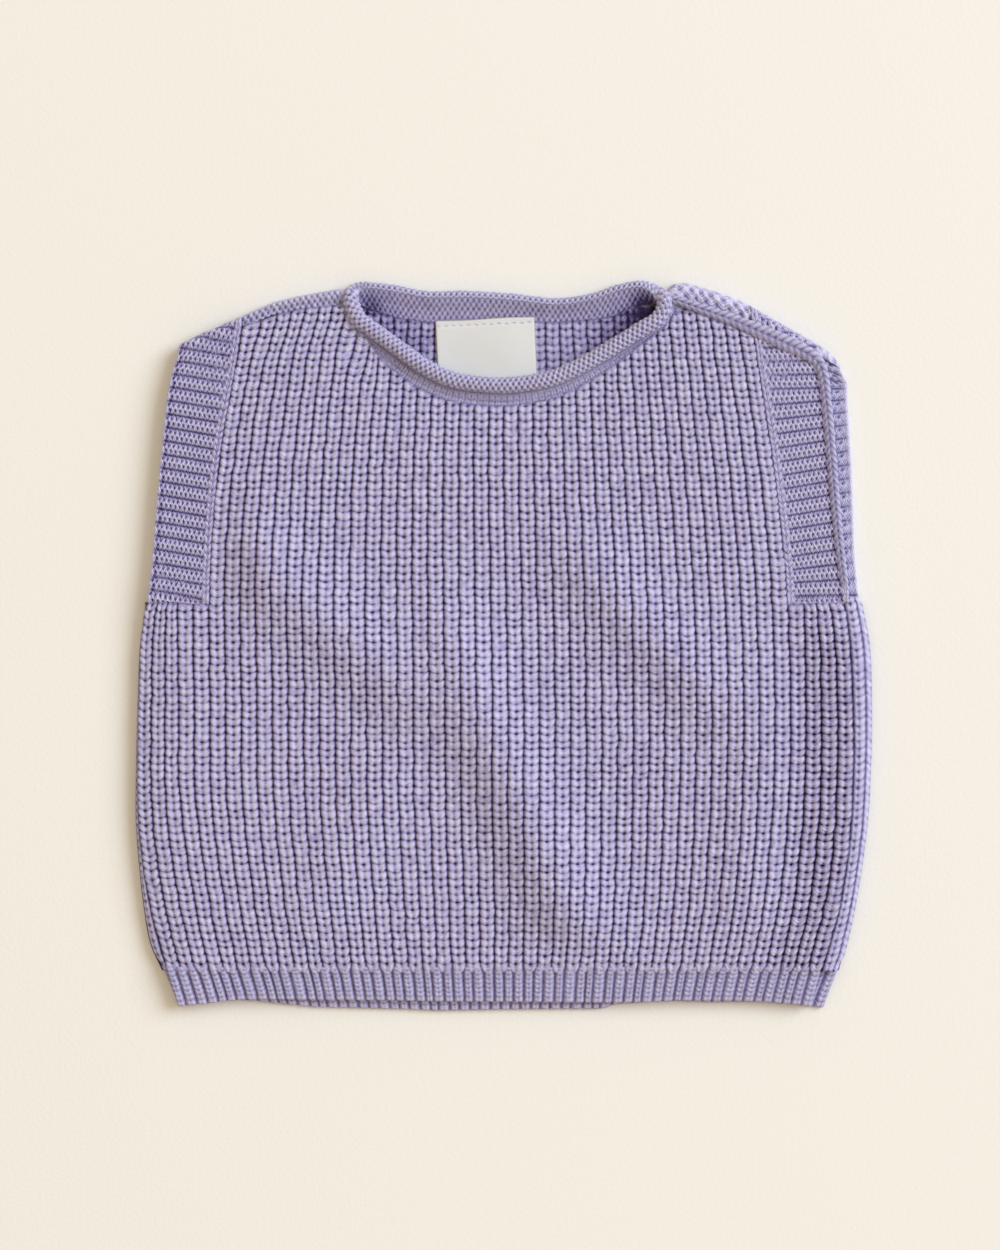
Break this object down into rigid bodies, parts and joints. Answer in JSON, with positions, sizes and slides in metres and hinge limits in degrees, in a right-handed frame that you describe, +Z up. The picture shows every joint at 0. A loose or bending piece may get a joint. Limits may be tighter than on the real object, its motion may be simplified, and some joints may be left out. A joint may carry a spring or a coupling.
{
  "type": "sweater vest",
  "caption": "Baby's sleeveless vest in chunky ribbed wool, laid flat, with rolled neckband, ribbed armhole bands and a narrow hem welt.",
  "frame": {"origin": "on the surface the vest lies on, under the middle of its outline", "axes": "+X to the viewer's right across the vest, +Y from the hem to the neck, +Z up from the surface"},
  "size_m": [0.281, 0.2778, 0.0113],
  "materials": {
    "rib_knit": "chunky full-cardigan rib in lilac wool, soft and matt",
    "welt_knit": "narrow one-by-one rib in lilac wool, matt",
    "band_knit": "small-stitch bands in lilac wool, matt",
    "label_cloth": "off-white woven tape, smooth and matt"
  },
  "bodies": {
    "root": {"back_panel": "rib_knit", "front_panel": "rib_knit", "back_welt": "welt_knit", "front_welt": "welt_knit", "neckband": "band_knit", "armband_left": "band_knit", "armband_right": "band_knit", "label": "label_cloth"}
  },
  "joints": []
}
